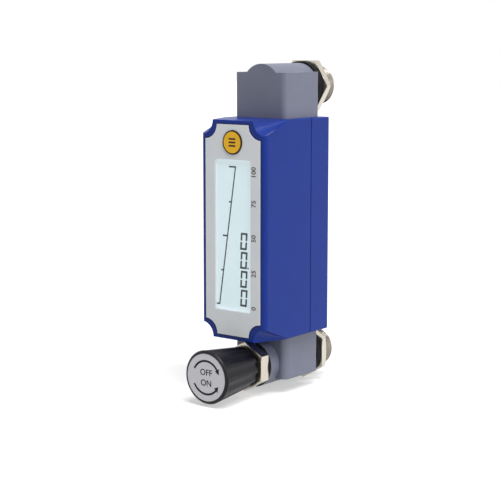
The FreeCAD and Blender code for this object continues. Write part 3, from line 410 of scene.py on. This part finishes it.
def port_profile(start, end):
    """The port's section as (y, radius, thread), where a thread is None, "stud" or "bore"."""
    middle = (start + STUD_START) / 2
    groove = SHANK_RADIUS - SEAL_GROOVE_DEPTH
    points = [(start, PASSAGE_RADIUS), (start, SHANK_RADIUS), (middle - SEAL_GROOVE_HALF, SHANK_RADIUS),
              (middle - SEAL_GROOVE_HALF, groove), (middle + SEAL_GROOVE_HALF, groove),
              (middle + SEAL_GROOVE_HALF, SHANK_RADIUS), (STUD_START, SHANK_RADIUS),
              (STUD_START, STUD_RADIUS)]
    profile = [(y, radius, None) for y, radius in points]
    length = end - STUD_CHAMFER - STUD_START
    count = int(length / STUD_PITCH * STEPS_PER_PITCH)
    profile += [(STUD_START + length * step / count, STUD_RADIUS, "stud") for step in range(1, count + 1)]
    profile += [(end, STUD_RADIUS - STUD_CHAMFER, None), (end, PORT_RADIUS + PORT_MOUTH, None)]
    length = PORT_LENGTH - PORT_MOUTH
    count = int(length / PORT_PITCH * STEPS_PER_PITCH)
    profile += [(end - PORT_MOUTH - length * step / count, PORT_RADIUS, "bore") for step in range(count + 1)]
    profile.append((end - PORT_LENGTH, PASSAGE_RADIUS, None))
    return profile


def cut_depth(y, turn, thread, bore_end):
    """How far a thread moves the surface outwards at a place along and round the port."""
    if thread == "stud":
        fade = min(1.0, (y - STUD_START) / STUD_PITCH)
        return -STUD_DEPTH * fade * wave(y / STUD_PITCH - turn)
    if thread == "bore":
        fade = min(1.0, (y - bore_end) / PORT_PITCH)
        return PORT_DEPTH * fade * wave(y / PORT_PITCH - turn)
    return 0.0


def thread_piece(name, node, material):
    """A threaded port: the CAD port's own form with a helical thread outside and inside."""
    low, high = node_box(node)
    centre = (low + high) / 2
    shape = bmesh.new()
    rings = []
    for y, radius, thread in port_profile(low.y, high.y):
        ring = []
        for index in range(SEGMENTS):
            turn = index / SEGMENTS
            angle = 2 * math.pi * turn
            reach = radius + cut_depth(y, turn, thread, high.y - PORT_LENGTH)
            place = Vector((centre.x + reach * math.cos(angle), y, centre.z + reach * math.sin(angle)))
            ring.append(shape.verts.new(place * MM))
        rings.append(ring)
    rings.append(rings[0])
    for first, second in zip(rings, rings[1:]):
        for index in range(SEGMENTS):
            following = (index + 1) % SEGMENTS
            shape.faces.new((first[index], second[index], second[following], first[following]))
    piece = new_piece(name, shape, material, "root", 50.0)
    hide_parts(node)
    return piece


# The whole scene

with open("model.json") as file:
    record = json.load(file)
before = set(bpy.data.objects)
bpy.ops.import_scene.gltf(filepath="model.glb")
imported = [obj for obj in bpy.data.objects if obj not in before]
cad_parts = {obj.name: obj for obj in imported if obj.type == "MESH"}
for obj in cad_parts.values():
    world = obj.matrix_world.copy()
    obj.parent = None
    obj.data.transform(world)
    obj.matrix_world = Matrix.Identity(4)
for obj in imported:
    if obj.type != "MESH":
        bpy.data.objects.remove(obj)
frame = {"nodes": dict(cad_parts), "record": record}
cad_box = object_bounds()


def set_camera():
    """The camera as fitted to the photograph."""
    data = bpy.data.cameras.new("camera")
    data.sensor_width = SENSOR
    data.lens = CAMERA_LENS
    data.clip_start = 0.01
    camera = bpy.data.objects.new("camera", data)
    camera.location = CAMERA_PLACE
    camera.rotation_euler = (math.radians(90 - CAMERA_ELEVATION), 0, math.radians(CAMERA_AZIMUTH))
    bpy.context.scene.collection.objects.link(camera)
    bpy.context.scene.camera = camera


def set_light(name, direction, level, spread):
    """A distant light that gives a level of light on a white surface that faces it."""
    data = bpy.data.lights.new(name, "SUN")
    data.energy = level * math.pi
    data.angle = math.radians(spread)
    light = bpy.data.objects.new(name, data)
    light.location = Vector(direction).normalized()
    light.rotation_euler = Vector(direction).to_track_quat("Z", "Y").to_euler()
    bpy.context.scene.collection.objects.link(light)


def set_world():
    """Soft grey light all round, and white where the camera or a reflection sees it."""
    world = bpy.data.worlds.new("world")
    bpy.context.scene.world = world
    world.use_nodes = True
    tree = world.node_tree
    tree.nodes.clear()
    output = tree.nodes.new("ShaderNodeOutputWorld")
    mix = tree.nodes.new("ShaderNodeMixShader")
    fill = tree.nodes.new("ShaderNodeBackground")
    fill.inputs["Color"].default_value = (1.0, 1.0, 1.0, 1.0)
    fill.inputs["Strength"].default_value = WORLD_LEVEL
    white = tree.nodes.new("ShaderNodeBackground")
    white.inputs["Color"].default_value = (1.0, 1.0, 1.0, 1.0)
    white.inputs["Strength"].default_value = WHITE_LEVEL
    seen = seen_rays(tree)
    tree.links.new(seen, mix.inputs["Fac"])
    tree.links.new(fill.outputs[0], mix.inputs[1])
    tree.links.new(white.outputs[0], mix.inputs[2])
    tree.links.new(mix.outputs[0], output.inputs["Surface"])


def seen_rays(tree):
    """1 for rays from the camera, a mirror or a clear surface."""
    rays = tree.nodes.new("ShaderNodeLightPath")
    total = rays.outputs["Is Camera Ray"]
    for name in ("Is Glossy Ray", "Is Transmission Ray"):
        larger = tree.nodes.new("ShaderNodeMath")
        larger.operation = "MAXIMUM"
        tree.links.new(total, larger.inputs[0])
        tree.links.new(rays.outputs[name], larger.inputs[1])
        total = larger.outputs[0]
    return total


def set_floor():
    """A wide pale floor under the object, which still takes its shadow."""
    height = cad_box[0][2]
    mesh = bpy.data.meshes.new("floor")
    corners = [(x * FLOOR_HALF, y * FLOOR_HALF, height) for x, y in ((-1, -1), (1, -1), (1, 1), (-1, 1))]
    mesh.from_pydata(corners, [], [(0, 1, 2, 3)])
    floor = bpy.data.objects.new("floor", mesh)
    bpy.context.scene.collection.objects.link(floor)
    nodes = Nodes("floor_pale")
    nodes.join(nodes.blend(nodes.noise(80.0), linear(196, 196, 196), linear(199, 199, 199)),
               nodes.shader.inputs["Base Color"])
    nodes.shader.inputs["Roughness"].default_value = 0.9
    nodes.shader.inputs["Specular IOR Level"].default_value = 0.0
    nodes.shader.inputs["Emission Color"].default_value = (1.0, 1.0, 1.0, 1.0)
    amount = nodes.add("ShaderNodeMath", operation="MULTIPLY")
    nodes.join(seen_rays(nodes.tree), amount.inputs[0])
    amount.inputs[1].default_value = FLOOR_GLOW
    nodes.join(amount.outputs[0], nodes.shader.inputs["Emission Strength"])
    mesh.materials.append(nodes.material)


def dress_frame(materials):
    """Gives every CAD node that shows the material of its slot."""
    names = {row["node"]: row["material_slot"] for row in frame["record"]["subparts"]}
    for node, piece in frame["nodes"].items():
        piece.data.materials.clear()
        piece.data.materials.append(materials[names[node]])


def add_display(materials):
    """The ramp with its ticks, and the digits with their point, on the panel behind the window."""
    front = node_box("display_panel")[0].y - INK_THICKNESS
    depth = front - node_box("front_label")[0].y
    left = WINDOW_LEFT - depth * math.tan(math.radians(CAMERA_AZIMUTH))

    def place(right, down):
        return (left + right, WINDOW_TOP - down)

    shape = bmesh.new()
    add_plate(shape, stroke(place(*RAMP_TOP), place(*RAMP_BOTTOM), RAMP_WIDTH), front)
    for down, length in TICKS:
        share = (down - RAMP_TOP[1]) / (RAMP_BOTTOM[1] - RAMP_TOP[1])
        right = RAMP_TOP[0] + share * (RAMP_BOTTOM[0] - RAMP_TOP[0])
        start = place(right + TICK_OVERLAP, down)
        add_plate(shape, stroke(start, place(right - length, down), TICK_WIDTH), front - 0.01)
    new_piece("display_ramp", shape, materials["ink_display"], "root")
    shape = bmesh.new()
    for index in range(DIGITS):
        add_zero(shape, place(DIGIT_PLACE[0], DIGIT_PLACE[1] + index * DIGIT_PITCH), front)
    right, down = POINT_PLACE
    half = POINT_SIZE / 2
    add_plate(shape, stroke(place(right - half, down), place(right + half, down), POINT_SIZE), front)
    new_piece("display_digits", shape, materials["ink_display"], "root")


def add_zero(shape, corner, front):
    """A nought of six bars that leans a little to the right, from its upper left corner."""
    width, height, bar, cut = DIGIT_WIDTH, DIGIT_HEIGHT, DIGIT_BAR, DIGIT_CORNER

    def add_bar(outline):
        """Adds a bar and its mirror image in the lower half."""
        for points in (outline, [(x, -height - z) for x, z in outline]):
            leaning = [(corner[0] + x + DIGIT_LEAN * (z + height) / height, corner[1] + z) for x, z in points]
            add_plate(shape, leaning, front)

    add_bar([(cut, 0), (0, -cut), (0, -bar), (width, -bar), (width, -cut), (width - cut, 0)])
    tip = DIGIT_GAP - height / 2
    shoulder = tip + 0.25
    for x in (0, width - bar):
        add_bar([(x, -bar), (x, shoulder), (x + bar / 2, tip), (x + bar, shoulder), (x + bar, -bar)])


def add_label_print(materials):
    """Plain scale numbers beside the window, read from below."""
    front = node_box("front_label")[0].y - INK_THICKNESS
    shape = bmesh.new()
    for words, down in NUMBERS:
        add_text(shape, words, NUMBER_HEIGHT, (NUMBER_PLACE, WINDOW_TOP - down), front, 90.0)
    new_piece("label_numbers", shape, materials["ink_label"], "root")


def label_outline(offset):
    """The label's outline with its four round notches, grown by an offset in millimetres."""
    low, high = node_box("front_label")
    radius = NOTCH_RADIUS - offset
    overlap = math.degrees(math.asin(offset / radius))
    points = []
    corners = ((high.x, high.z, 270), (low.x, high.z, 360), (low.x, low.z, 90), (high.x, low.z, 180))
    for x, z, start in corners:
        points += circle_points((x, z), radius, start + overlap, start - 90 - overlap, 16)
    return points


def add_label_edge(materials):
    """The thin dark line round the label."""
    front = node_box("front_housing")[0].y - INK_THICKNESS
    shape = bmesh.new()
    add_band(shape, *(label_outline(offset) for offset in LABEL_LINE), front)
    new_piece("label_edge", shape, materials["edge_line"], "root")


def middle_of(node):
    """The x and z of a node's middle in millimetres."""
    low, high = node_box(node)
    return ((low.x + high.x) / 2, (low.z + high.z) / 2)


def add_key_marks(materials):
    """The key's raised dark rim and a plain sign of three bars."""
    front = node_box("mode_key")[0].y
    centre = middle_of("mode_key")
    shape = bmesh.new()
    inner, outer = (circle_points(centre, radius, 0, 360, 96)[:-1] for radius in KEY_RIM)
    add_band(shape, inner, outer, front - KEY_RIM_PROUD, True, KEY_RIM_DEPTH)
    new_piece("key_outline", shape, materials["ink_key"], "key")
    shape = bmesh.new()
    for offset in KEY_BARS:
        ends = [(centre[0] + reach, centre[1] + offset) for reach in (-KEY_BAR_HALF, KEY_BAR_HALF)]
        add_plate(shape, stroke(*ends, KEY_BAR_WIDTH), front - INK_THICKNESS)
    new_piece("key_sign", shape, materials["ink_key"], "key")


def add_knob_marks(materials):
    """The two arc arrows and the words of the knob's disc."""
    front = node_box("knob_disc")[0].y - INK_THICKNESS
    centre = middle_of("knob_disc")

    def on_circle(radius, angle):
        angle = math.radians(angle)
        return (centre[0] + radius * math.cos(angle), centre[1] + radius * math.sin(angle))

    shape = bmesh.new()
    for radius, start, end in KNOB_ARCS:
        inner, outer = (circle_points(centre, radius + side * KNOB_ARC_WIDTH / 2, start, end, 40)
                        for side in (-1, 1))
        add_band(shape, inner, outer, front, False)
        onward = 1 if end > start else -1
        head = [on_circle(radius + ARROW_TIP_OUT, end + onward * ARROW_DEGREES),
                on_circle(radius - ARROW_HALF, end - onward), on_circle(radius + ARROW_HALF, end - onward)]
        add_plate(shape, head if onward < 0 else head[::-1], front - 0.005)
    for words, height in KNOB_WORDS:
        add_text(shape, words, KNOB_WORD_HEIGHT, (centre[0], centre[1] + height), front)
    new_piece("knob_marks", shape, materials["ink_knob"], "knob")


NICKEL = linear(206, 199, 186)
STUD = linear(136, 130, 122)
panel_low, panel_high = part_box("display_panel")
materials = {
    "housing_blue": surface("housing_blue", linear(13, 42, 122), 0.36, 0.35, 0.008, 0.04, 0.0, 0.17),
    "label_grey": surface("label_grey", linear(203, 206, 209), 0.45, 0.3, 0.006, 0.02, 0.0, 0.3),
    "window_clear": window_surface(),
    "display_glass": display_with_painted_glow(Vector(panel_low), Vector(panel_high)),
    "key_yellow": surface("key_yellow", linear(219, 167, 22), 0.4, 0.4, 0.01, 0.05, 0.0, 0.3),
    "inner_white": surface("inner_white", linear(225, 225, 222), 0.5),
    "inner_black": surface("inner_black", linear(24, 24, 26), 0.55),
    "board_green": surface("board_green", linear(20, 84, 52), 0.4),
    "dome_steel": surface("dome_steel", linear(200, 200, 200), 0.25, metallic=1.0),
    "screw_steel": surface("screw_steel", linear(170, 170, 172), 0.35, metallic=1.0),
    "cell_wrap": surface("cell_wrap", linear(60, 120, 70), 0.35),
    "contact_metal": surface("contact_metal", linear(200, 196, 184), 0.3, metallic=1.0),
    "channel_metal": surface("channel_metal", linear(190, 192, 194), 0.4, metallic=1.0),
    "block_grey": surface("block_grey", linear(103, 106, 122), 0.45, 0.3, 0.012, 0.03, 0.0, 0.4),
    "port_metal": surface("port_metal", STUD, 0.34, 0.5, 0.006, 0.08, 0.9),
    "nut_metal": surface("nut_metal", NICKEL, 0.32, 0.4, 0.008, 0.05, 1.0),
    "rubber_black": surface("rubber_black", linear(16, 16, 18), 0.75, 0.3, 0.02, 0.06, 0.0, 0.15),
    "knob_black": surface("knob_black", linear(18, 18, 23), 0.4, 0.5, 0.015, 0.06, 0.0, 0.2),
    "disc_metal": disc_surface("disc_metal", linear(182, 181, 186)),
    "seat_white": surface("seat_white", linear(225, 225, 222), 0.4),
    "chip_black": surface("chip_black", linear(24, 24, 26), 0.45),
    "ribbon_film": surface("ribbon_film", linear(188, 184, 176), 0.35),
    "ink_display": surface("ink_display", linear(16, 24, 32), 0.5, 0.5, 0.002, 0.1, 0.0, 0.2),
    "ink_label": surface("ink_label", linear(50, 42, 46), 0.5, 0.3, 0.002, 0.1, 0.0, 0.2),
    "ink_key": surface("ink_key", linear(48, 26, 10), 0.5, 0.3, 0.002, 0.1, 0.0, 0.2),
    "ink_knob": surface("ink_knob", linear(12, 12, 15), 0.5, 0.3, 0.002, 0.1, 0.0, 0.2),
    "edge_line": surface("edge_line", linear(14, 18, 62), 0.5, 0.3, 0.002, 0.1, 0.0, 0.2),
}

set_camera()
set_world()
set_floor()
set_light("light_top", (0.35, -0.25, 1.0), 0.88, 28)
set_light("light_right", (1.0, -0.14, 0.35), 0.38, 25)
set_light("light_streak", (0.62, 0.14, 0.77), 0.22, 4)
set_light("light_edge", (-0.48, 0.38, 0.79), 0.09, 5)

dress_frame(materials)
for node, slot, edge in (("front_housing", "housing_blue", 0.5), ("rear_cover", "housing_blue", 0.25),
                         ("upper_block", "block_grey", 0.3), ("lower_block", "block_grey", 0.3),
                         ("upper_nut", "nut_metal", 0.15), ("lower_nut", "nut_metal", 0.15),
                         ("valve_bonnet", "nut_metal", 0.15), ("upper_washer", "rubber_black", 0.2),
                         ("lower_washer", "rubber_black", 0.2), ("front_label", "label_grey", 0.08)):
    refined(node, materials[slot], "root", edge)
refined("valve_knob", materials["knob_black"], "knob", 0.2)
refined("mode_key", materials["key_yellow"], "key", 0.1)
thread_piece("upper_port", "upper_fitting", materials["port_metal"])
thread_piece("lower_port", "lower_fitting", materials["port_metal"])
add_display(materials)
add_label_print(materials)
add_label_edge(materials)
add_key_marks(materials)
add_knob_marks(materials)

bpy.context.scene.view_settings.view_transform = "Standard"
